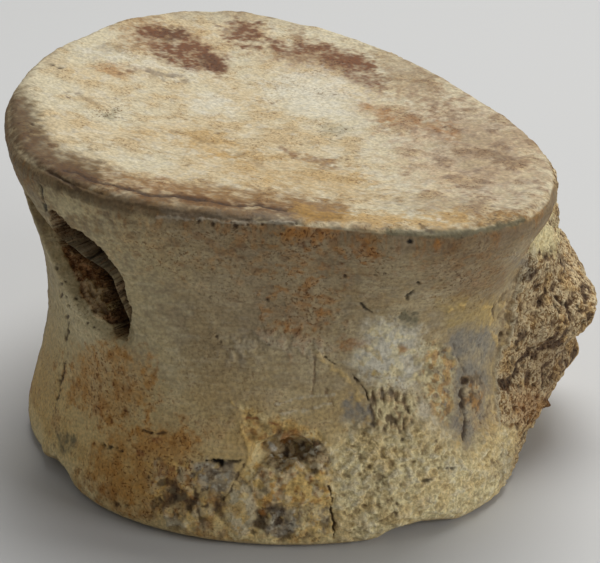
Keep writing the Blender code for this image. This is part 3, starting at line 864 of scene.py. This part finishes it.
def dress_wall(skin):
    """The smooth cortex all round: its soft relief, stains and fine pores, and painted shade and light."""
    wall = skin.wall
    broad = skin.noise(wall, 18.0, 3, 51)
    middling = skin.noise(wall, 6.0, 4, 53)
    level = relief_on(wall, skin.at / LEVEL_STREAK, 1.0, 3, 56)
    upright = relief_on(wall, skin.at / UPRIGHT_STREAK, 1.0, 3, 58)
    skin.push += wall * (0.16 * middling + 0.05 * skin.ragged + 0.04 * level)
    skin.tint(OLIVE, wall * ramp(-0.3, 0.5, broad) * 0.5)
    skin.tint(CREAM, wall * ramp(0.0, 0.6, middling - broad) * 0.3)
    skin.tint(GREY, wall * ramp(0.0, 0.6, -middling - 0.5 * skin.patchy) * 0.3)
    skin.tint(BROWN, wall * ramp(0.0, 0.7, level + 0.5 * skin.fleck) * 0.2)
    skin.tint(PALE, wall * ramp(0.1, 0.8, skin.ragged - level) * 0.15)

    # Painted shade: the wall is darkened with brown just below the upper rim, fading downward; rust drips
    # gather in the same band
    shadow = np.exp(-np.maximum(skin.under - 2.0, 0.0) / 7.0) * wall
    skin.tint(BROWN, shadow * 0.56)
    drips = shadow * ramp(0.0, 0.5, upright + 0.7 * skin.patchy)
    skin.tint(RUST, drips * 0.4)
    # Painted light and shade from the wide eggs
    for *egg, colour, strength in WALL_LIGHT_AND_SHADE:
        skin.tint(colour, wall * skin.blot(*egg) * strength)
    low = ramp(30.0, 4.0, skin.height) * wall
    away = wall * (1.0 - skin.facing)
    # Painted light, partly also the wall's own yellower colour: the wall is lightened towards the ground,
    # most where it faces the camera
    skin.tint(HONEY, low * (0.7 - 0.5 * away))
    skin.tint(SAND, ramp(7.0, 2.0, skin.height) * wall * skin.facing * 0.7)
    skin.tint(OCHRE, low * ramp(-0.1, 0.5, broad + 0.6 * skin.patchy) * 0.4)
    skin.tint(RUST, low * ramp(0.2, 0.7, middling + 0.5 * skin.ragged) * 0.4)
    skin.tint(GREY, away * ramp(0.2, 0.7, -broad) * 0.4)
    skin.tint(RUST, away * ramp(0.35, 0.8, middling) * 0.4)
    pores = specks(skin.at, 1.7, 0.34, 57, wall) * ramp(-0.1, 0.5, middling)
    skin.push -= pores * 0.15
    skin.tint(UMBER, pores * 0.5)

    rusty = sum(share * skin.blot(*egg) for *egg, share in RUSTY_EGGS)
    rusty = np.clip(rusty + 0.5 * away * ramp(0.0, 0.5, middling) + 0.25 * low, 0.0, 1.0) * wall
    smears = rusty * ramp(0.0, 0.45, skin.ragged + 0.6 * skin.patchy)
    skin.tint(ORANGE, smears * 0.32)
    skin.tint(RUST, smears * ramp(0.1, 0.5, skin.ragged + 0.7 * skin.fleck) * 0.36)
    spots = specks(skin.at, 2.5, 1.05, 59, wall) + 0.7 * specks(skin.at, 1.3, 0.4, 60, wall)
    spots = np.clip(spots, 0.0, 1.0) * rusty
    skin.push -= spots * 0.1
    skin.tint(DARK_RUST, spots * 0.75)
    skin.dots = np.maximum(skin.dots, wall * np.clip(0.3 + 0.7 * rusty + 0.4 * middling, 0.1, 1.0))

    lay_patches(skin, WALL_PATCHES, wall)
    bars = skin.patch(BARS, 6, warp=0.8) * wall
    skin.push += bars * (0.45 * upright - 0.2)
    skin.tint(SAND, bars * 0.7)
    skin.tint(RUST, bars * ramp(0.0, 0.4, skin.ragged) * 0.4)
    skin.tint(BROWN, bars * ramp(-0.05, 0.25, -upright) * 0.7)
    skin.tint(UMBER, bars * ramp(0.25, 0.5, -upright) * 0.45)
    broken = skin.patch(BROKEN_CORTEX, 6) * wall
    uneven = skin.noise(broken, 3.0, 4, 65)
    skin.push += broken * (0.3 * uneven - 0.3)
    skin.tint(HONEY, broken * 0.6)
    skin.tint(SAND, broken * ramp(-0.05, 0.2, uneven + 0.5 * skin.fleck) * 0.6)
    skin.tint(ORANGE, broken * ramp(0.05, 0.35, skin.ragged) * 0.3)
    skin.tint(UMBER, broken * ramp(0.35, 0.65, -uneven - 0.5 * skin.fleck) * 0.7)
    lay_rough(skin, ROUGH_PLATES, wall)
    lay_eggs(skin, WALL_EGGS, wall, np.clip(0.9 + 0.5 * skin.ragged + 0.5 * skin.fleck, 0.3, 1.2))


def sink_pit(skin):
    """Carries the pit up to its edge in the photograph, and gives where the skin's spots then are."""
    inside = skin.patch(PIT, 2, warp=0.3) * skin.wall
    strip = inside * np.clip(2.0 * skin.stroke(PIT_EDGE, PIT_STRIP, warp=0.3, rough=0.0), 0.0, 1.0)
    start, end = PIT_EDGE[0], PIT_EDGE[-1]
    side = (skin.px - start[0]) * (end[1] - start[1]) - (skin.py - start[1]) * (end[0] - start[0])
    beside = (skin.stroke(PIT_EDGE, PIT_BESIDE, warp=0.0, rough=0.0) > 0.05) & (inside < 0.01) & (side > 0.0)
    turn = (skin.angle - skin.angle[beside].mean()) / 10.0
    rise = (skin.height - skin.height[beside].mean()) / 10.0
    terms = np.column_stack([np.ones_like(turn), turn, rise, turn**2, rise**2, turn * rise])
    shape = np.linalg.lstsq(terms[beside], skin.radius[beside], rcond=None)[0]
    sunk = np.maximum(skin.radius - terms @ shape + PIT_DEPTH * strip, 0.0)
    skin.inward += sunk * ramp(0.02, 0.3, strip)
    return skin.drawn_in(skin.at)


def dress_pit(skin):
    """The pit in the ventral wall, with torn spongy bone on its floor."""
    sunk = sink_pit(skin)
    pit = np.maximum(skin.patch(PIT, 3, warp=0.6) * skin.wall, ramp(0.05, 0.6, skin.inward))
    struts = relief_on(pit, sunk * PIT_GRAIN, 1.1, 3, 61)
    rough = relief_on(pit, sunk, 2.4, 3, 63)
    skin.push -= pit * (0.4 - 0.7 * struts + 0.3 * rough)
    skin.tint(PIT_BROWN, pit * 0.95)
    skin.tint(OLIVE, pit * ramp(0.1, 0.5, struts) * 0.6)
    # Painted shade: the pit floor is darker where it sinks deepest
    skin.tint(UMBER, pit * ramp(0.0, 0.35, -struts) * 0.5)
    skin.tint(BLACK, pit * ramp(0.35, 0.7, -struts - rough) * 0.35)
    panel = skin.patch(PIT_PANEL, 6) * skin.wall
    skin.push += panel * 1.0
    skin.tint(TAN, panel * (0.75 + 0.5 * struts))
    skin.tint(SAND, skin.blot(114, 302, 7, 9, 20) * 0.75)
    skin.tint(BLACK, skin.blot(124, 326, 6, 14) * 0.5)
    # Painted shade on the strip sunk along the pit's upper edge
    ledge_shade = ramp(0.1, 1.0, skin.inward)
    skin.tint(RED_BROWN, ledge_shade * 0.75)
    skin.tint(UMBER, ledge_shade * (0.4 + 1.1 * struts))
    return pit * (1.0 - 0.7 * panel)


def torn_bone(skin, area, seed, coarse):
    """Open spongy bone: a rough torn surface full of small drawn out hollows."""
    bent = skin.at + 0.7 * np.column_stack([lumps(skin.at / 2.2, seed + k) for k in (1, 2, 3)])
    drawn = bent * TORN_GRAIN
    grains = relief_on(area, drawn, 0.9, 2, seed + 5)
    hollows = relief_on(area, bent, coarse, 4, seed + 9)
    holes = specks(drawn, 0.9, 0.42, seed + 15, area)
    skin.push += area * (0.14 * grains + 0.3 * hollows) - 0.25 * holes
    return grains, hollows, holes


def dress_stumps(skin):
    """The broken roots of the neural arch."""
    hidden = 1.0 - skin.facing
    wander = hidden * (5.0 * relief(skin.at, 8.0, 3, 73) + 2.0 * skin.ragged)
    stump = ramp(0.03, 0.3, stump_share(skin.angle + wander, skin.height)) * skin.wall
    stump = np.maximum(stump, skin.patch(TORN_EDGE, 4, warp=0.6) * skin.wall)
    worn = ramp(0.1, 0.6, skin.noise(stump, 9.0, 3, 75)) * hidden
    grains, hollows, holes = torn_bone(skin, stump, 71, 2.4)
    skin.tint(TAN, stump * 0.9)
    skin.tint(CREAM, stump * ramp(0.1, 0.5, grains) * 0.4)
    skin.tint(OCHRE, stump * ramp(0.0, 0.5, skin.patchy) * 0.5)
    # Painted shade: the torn bone is darkened in its hollows and holes, less so on the side turned from the
    # camera
    hollow_shade = stump * (1.0 - 0.5 * hidden)
    skin.tint(BROWN, hollow_shade * ramp(-0.05, 0.4, -hollows - 0.5 * grains) * 0.75)
    skin.tint(UMBER, hollow_shade * ramp(0.2, 0.6, -hollows - 0.3 * grains) * 0.7)
    skin.tint(UMBER, holes * 0.75)
    skin.tint(WALL, stump * worn * 0.6)
    shoulder = skin.blot(541, 236, 22, 24, 20, warp=0.8) * stump
    skin.push += shoulder * (0.35 * relief_on(shoulder, skin.at / UPRIGHT_STREAK, 1.0, 2, 77))
    skin.tint(SAND, shoulder)
    skin.tint(YELLOW, shoulder * ramp(0.1, 0.6, skin.ragged) * 0.2)
    skin.tint(GREY, skin.blot(523, 262, 12, 10, 0, warp=0.8) * 0.75)
    skin.tint(RUST, stump * skin.blot(530, 405, 26, 22) * 0.5)
    skin.tint(BROWN, stump * skin.blot(548, 365, 28, 44) * 0.4)
    edge = skin.stroke(TORN_EDGE[:9], 0.5, warp=0.6) * skin.wall
    skin.push += edge * 0.3
    skin.tint(CREAM, edge * 0.6)
    return stump * (1.0 - 0.75 * shoulder) * (1.0 - 0.6 * worn)


def dress_granular(skin):
    """The crumbled stretch at the lower right, which has lost its cortex."""
    hidden = span(skin.angle, 5, 30, 5) * (1.0 - skin.facing) * ramp(22.0, 14.0, skin.height)
    area = np.maximum(skin.patch(GRANULAR, 18), hidden) * skin.wall
    area = area * (1.0 - 0.85 * skin.patch(BARS, 6, warp=0.8))
    calm = 1.0 - 0.35 * skin.patch(SMOOTHER, 14)
    bumps = relief_on(area, skin.at * GRANULE_GRAIN, 1.5, 3, 91)
    swells = skin.noise(area, 6.0, 2, 92)
    skin.push += area * (calm * (0.5 * bumps + 0.1 * skin.fleck) + 0.4 * swells)
    skin.tint(SAND, area * 0.92)
    # Painted highlight and shade: lighter on the tops of the bumps, and browner between them
    skin.tint(PALE, area * ramp(0.0, 0.5, bumps + 0.4 * skin.fleck) * 0.4)
    skin.tint(HONEY, area * ramp(-0.1, 0.5, swells + skin.patchy) * 0.35)
    skin.tint(OCHRE, area * ramp(0.15, 0.5, skin.ragged) * 0.2)
    skin.tint(BROWN, area * calm * ramp(0.2, 0.65, -bumps - 0.3 * skin.fleck) * 0.5)
    skin.dots *= 1.0 - 0.8 * area
    skin.tint(GREY, skin.blot(508, 466, 20, 24) * area * 0.4)
    return area * 0.4


def dress_marks(skin):
    """Cracks, edges and pores that lie over all else."""
    for turn, height, reach, out in MENDS:
        gap = np.hypot(np.radians(skin.angle - turn) * skin.radius, skin.height - height)
        skin.push += hill(gap, reach) * out
    for x, y, size in PORE_SPOTS:
        found = skin.blot(x, y, size, size, warp=0.5)
        skin.push -= found * 0.25
        skin.tint(UMBER, found * 0.8)
    lay_lines(skin, WALL_LINES, skin.wall)


def placed(name, data):
    """A new object of the scene with that data."""
    thing = bpy.data.objects.new(name, data)
    bpy.context.scene.collection.objects.link(thing)
    return thing


def new_material(name):
    """A material, and its nodes and shader."""
    material = bpy.data.materials.new(name)
    material.use_nodes = True
    return material, material.node_tree, material.node_tree.nodes["Principled BSDF"]


def skin_object():
    """A finely divided, smoothed copy of the solid."""
    step = SKIN_STEP
    body = placed("bone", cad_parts[NODE].data.copy())
    remesh = body.modifiers.new("divide", "REMESH")
    remesh.mode = "VOXEL"
    remesh.voxel_size = step * MM
    smooth = body.modifiers.new("smooth", "SMOOTH")
    smooth.factor = 0.5
    smooth.iterations = round(4.0 * (SMOOTH_REACH / step) ** 2)
    graph = bpy.context.evaluated_depsgraph_get()
    mesh = bpy.data.meshes.new_from_object(body.evaluated_get(graph))
    body.modifiers.clear()
    body.data = mesh
    return body


def bake_map(mesh):
    """Lays the skin flat for a baked picture: the end faces side by side, the wall in two halves above."""
    owner = np.repeat(np.arange(len(mesh.polygons)), read(mesh.polygons, "loop_total", kind=np.int32))
    middle = read(mesh.polygons, "center", 3)[owner] / MM - np.array((*AXIS, 0.0))
    steep = read(mesh.polygons, "normal", 3)[owner, 2]
    at = read(mesh.vertices, "co", 3)[read(mesh.loops, "vertex_index", kind=np.int32)] / MM
    x, y = at[:, 0] - AXIS[0], at[:, 1] - AXIS[1]

    from_middle = np.arctan2(middle[:, 1], middle[:, 0])
    angle = from_middle + np.mod(np.arctan2(y, x) - from_middle + math.pi, 2 * math.pi) - math.pi
    first = from_middle >= 0.0
    u = BAKE_MARGIN + (angle / math.pi + np.where(first, 0.0, 1.0)) * (1.0 - 2 * BAKE_MARGIN)
    v = np.where(first, *BAKE_STRIPS) + at[:, 2] * BAKE_STRIP_SCALE
    top = (steep > BAKE_STEEP) & (middle[:, 2] > UPPER_HEIGHT / 2)
    base = (steep < -BAKE_STEEP) & (middle[:, 2] < BAKE_BASE)
    flat = top | base
    u = np.where(flat, np.where(top, *BAKE_FACE_PLACES) + at[:, 0] * BAKE_FACE_SCALE, u)
    v = np.where(flat, BAKE_FACE_MIDDLE + at[:, 1] * BAKE_FACE_SCALE, v)
    layer = mesh.uv_layers.new(name="OFBake")
    layer.data.foreach_set("uv", np.column_stack([u, v]).astype(np.float32).ravel())


def bone_skin():
    body = skin_object()
    skin = Skin(body.data)
    dress_wall(skin)
    dress_top(skin)
    dress_base(skin)
    dress_rim(skin)
    grit = np.maximum(dress_granular(skin), dress_stumps(skin))
    grit = np.maximum(grit, dress_pit(skin))
    dress_marks(skin)
    moved = skin.drawn_in(skin.at + skin.out * skin.push[:, None])
    moved[:, 2] = np.maximum(moved[:, 2], 0.0)
    body.data.vertices.foreach_set("co", (moved * MM).astype(np.float32).ravel())
    colours = np.column_stack([np.clip(skin.colour, 0.0, 1.0), np.ones(len(skin.colour))])
    for name, kind, key, values in (
        ("bone_colour", "FLOAT_COLOR", "color", colours),
        ("bone_grit", "FLOAT", "value", grit),
        ("bone_face", "FLOAT", "value", skin.top + skin.base),
        ("bone_dots", "FLOAT", "value", skin.dots),
    ):
        attribute = body.data.attributes.new(name, kind, "POINT")
        attribute.data.foreach_set(key, values.astype(np.float32).ravel())
    body.data.shade_smooth()
    body.data.update()
    bake_map(body.data)
    body.data.materials.clear()
    body.data.materials.append(bone_material())
    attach(body, "root")
    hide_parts(NODE)
    return body


# The material: the painted colour, with grain finer than the skin's own, and dark dots in it, and on the
# grit a painted highlight and painted shade in its low spots

SPECULAR = 0.3
BUMP = 0.7
BUMP_HEIGHT = 0.25
GRAIN_STRETCH = (2.1, 0.9, 1.4)
DOT_SHADE = (0.34, 0.22, 0.13)
CREVICE_SHADE = (0.4, 0.28, 0.16)


def add_node(tree, kind, **settings):
    node = tree.nodes.new(kind)
    for name, value in settings.items():
        setattr(node, name, value)
    return node


def fine_noise(tree, places, pitch, detail, distortion=0.0):
    """Noise with lumps of that many millimetres."""
    node = add_node(tree, "ShaderNodeTexNoise")
    node.inputs["Scale"].default_value = 1.0 / (pitch * MM)
    node.inputs["Detail"].default_value = detail
    node.inputs["Distortion"].default_value = distortion
    tree.links.new(places, node.inputs["Vector"])
    return node.outputs["Fac"]


def fitted(tree, value, low, high, least, most):
    """The value, fitted from between low and high to between least and most."""
    node = add_node(tree, "ShaderNodeMapRange", interpolation_type="SMOOTHSTEP")
    for name, number in zip(("From Min", "From Max", "To Min", "To Max"), (low, high, least, most)):
        node.inputs[name].default_value = number
    tree.links.new(value, node.inputs["Value"])
    return node.outputs["Result"]


def reckoned(tree, operation, *values):
    node = add_node(tree, "ShaderNodeMath", operation=operation)
    for socket, value in zip(node.inputs, values):
        if isinstance(value, float):
            socket.default_value = value
        else:
            tree.links.new(value, socket)
    return node.outputs["Value"]


def blended(tree, share, first, second):
    """The first value where the share is nothing, and the second where it is one."""
    node = add_node(tree, "ShaderNodeMix", data_type="FLOAT")
    tree.links.new(share, node.inputs["Factor"])
    for name, value in (("A", first), ("B", second)):
        if isinstance(value, float):
            node.inputs[name].default_value = value
        else:
            tree.links.new(value, node.inputs[name])
    return node.outputs["Result"]


def painted(tree, name, output="Fac"):
    return add_node(tree, "ShaderNodeAttribute", attribute_name=name).outputs[output]


def bone_material():
    material, tree, shader = new_material("fossil_bone")
    shader.inputs["Specular IOR Level"].default_value = SPECULAR

    places = add_node(tree, "ShaderNodeTexCoord").outputs["Object"]
    _, right, _, _ = camera_frame()
    drawn_out = add_node(tree, "ShaderNodeMapping", vector_type="TEXTURE")
    drawn_out.inputs["Rotation"].default_value = (0.0, 0.0, math.atan2(right[1], right[0]) + GRAIN_TURN)
    drawn_out.inputs["Scale"].default_value = GRAIN_STRETCH
    tree.links.new(places, drawn_out.inputs["Vector"])

    face = painted(tree, "bone_face")
    grit = painted(tree, "bone_grit")
    fine = fine_noise(tree, places, 0.5, 4.0)
    dots = fine_noise(tree, places, 0.42, 1.0, 0.6)
    streaks = fine_noise(tree, drawn_out.outputs["Vector"], 0.6, 4.0, 0.4)
    sponge = fine_noise(tree, places, 0.7, 2.0, 1.3)

    light = fitted(tree, fine, 0.3, 0.7, 0.81, 1.16)
    on_face = fitted(tree, streaks, 0.34, 0.6, 0.91, 1.04)
    # Painted highlight: the grit is lightened where its sponge noise stands highest
    grit_highlight = fitted(tree, sponge, 0.46, 0.6, 0.95, 1.16)
    for share, shown in ((face, on_face), (grit, grit_highlight)):
        light = reckoned(tree, "MULTIPLY", light, blended(tree, share, 1.0, shown))
    mixed = add_node(tree, "ShaderNodeMix", data_type="RGBA", blend_type="MULTIPLY")
    mixed.inputs["Factor"].default_value = 1.0
    tree.links.new(painted(tree, "bone_colour", "Color"), mixed.inputs["A"])
    tree.links.new(light, mixed.inputs["B"])
    # Painted shade: the grit is darkened where its sponge noise sinks lowest
    crevice_shading = reckoned(tree, "MULTIPLY", fitted(tree, sponge, 0.38, 0.54, 0.9, 0.0), grit)
    dots = fitted(tree, dots, 0.56, 0.66, 0.0, 0.85)
    dotting = reckoned(tree, "MULTIPLY", dots, painted(tree, "bone_dots"))
    shown = mixed.outputs["Result"]
    for share, shade in ((crevice_shading, CREVICE_SHADE), (dotting, DOT_SHADE)):
        darker = add_node(tree, "ShaderNodeMix", data_type="RGBA", blend_type="MULTIPLY")
        tree.links.new(share, darker.inputs["Factor"])
        tree.links.new(shown, darker.inputs["A"])
        darker.inputs["B"].default_value = (*shade, 1.0)
        shown = darker.outputs["Result"]
    tree.links.new(shown, shader.inputs["Base Color"])
    tree.links.new(fitted(tree, fine, 0.3, 0.7, 0.66, 0.9), shader.inputs["Roughness"])

    height = reckoned(tree, "MULTIPLY", fine, 0.35)
    for share, noise, strength in ((face, streaks, 0.3), (grit, sponge, 2.0)):
        rise = reckoned(tree, "MULTIPLY", share, reckoned(tree, "MULTIPLY", noise, strength))
        height = reckoned(tree, "ADD", height, rise)
    bump = add_node(tree, "ShaderNodeBump")
    bump.inputs["Strength"].default_value = BUMP
    bump.inputs["Distance"].default_value = BUMP_HEIGHT * MM
    tree.links.new(height, bump.inputs["Height"])
    tree.links.new(bump.outputs["Normal"], shader.inputs["Normal"])
    return material


# The floor, the light and the camera

FLOOR_SIDE = 4.0
FLOOR_COLOUR = (0.62, 0.62, 0.61, 1.0)
FLOOR_ROUGHNESS = 0.9
WHITE_LIGHT = (1.0, 1.0, 1.0, 1.0)
SKY_STRENGTH = 0.18
LIGHT_AIM = (0.0, 0.0, 0.03)
# Each light's name, place and side in metres, and power in watts
LIGHTS = (("overhead", (-0.143, 0.228, 0.7), 0.45, 4.6), ("side", (0.6, 0.31, 0.25), 0.3, 1.5))


def plain_floor():
    half = FLOOR_SIDE / 2
    mesh = bpy.data.meshes.new("floor")
    corners = [(-half, -half, 0), (half, -half, 0), (half, half, 0), (-half, half, 0)]
    mesh.from_pydata(corners, [], [(0, 1, 2, 3)])
    floor = placed("floor", mesh)
    material, _, shader = new_material("floor")
    shader.inputs["Base Color"].default_value = FLOOR_COLOUR
    shader.inputs["Roughness"].default_value = FLOOR_ROUGHNESS
    mesh.materials.append(material)


def soft_light(name, place, side, power):
    data = bpy.data.lights.new(name, "AREA")
    data.shape = "SQUARE"
    data.size = side
    data.energy = power
    lamp = placed(name, data)
    lamp.location = place
    lamp.rotation_euler = (Vector(LIGHT_AIM) - Vector(place)).to_track_quat("-Z", "Y").to_euler()


def studio():
    scene = bpy.context.scene
    scene.view_settings.view_transform = "Standard"
    world = bpy.data.worlds.new("studio")
    world.use_nodes = True
    sky = world.node_tree.nodes["Background"]
    sky.inputs["Color"].default_value = WHITE_LIGHT
    sky.inputs["Strength"].default_value = SKY_STRENGTH
    scene.world = world
    for light in LIGHTS:
        soft_light(*light)


def camera():
    eye, right, up, ahead = camera_frame()
    data = bpy.data.cameras.new("camera")
    data.lens = LENS
    data.sensor_width = SENSOR_WIDTH
    data.clip_start = NEAR_CLIP
    turned = Matrix((right, up, -ahead)).transposed().to_4x4()
    thing = placed("camera", data)
    thing.matrix_world = Matrix.Translation(Vector(eye * MM)) @ turned
    bpy.context.scene.camera = thing


bone_skin()
plain_floor()
studio()
camera()
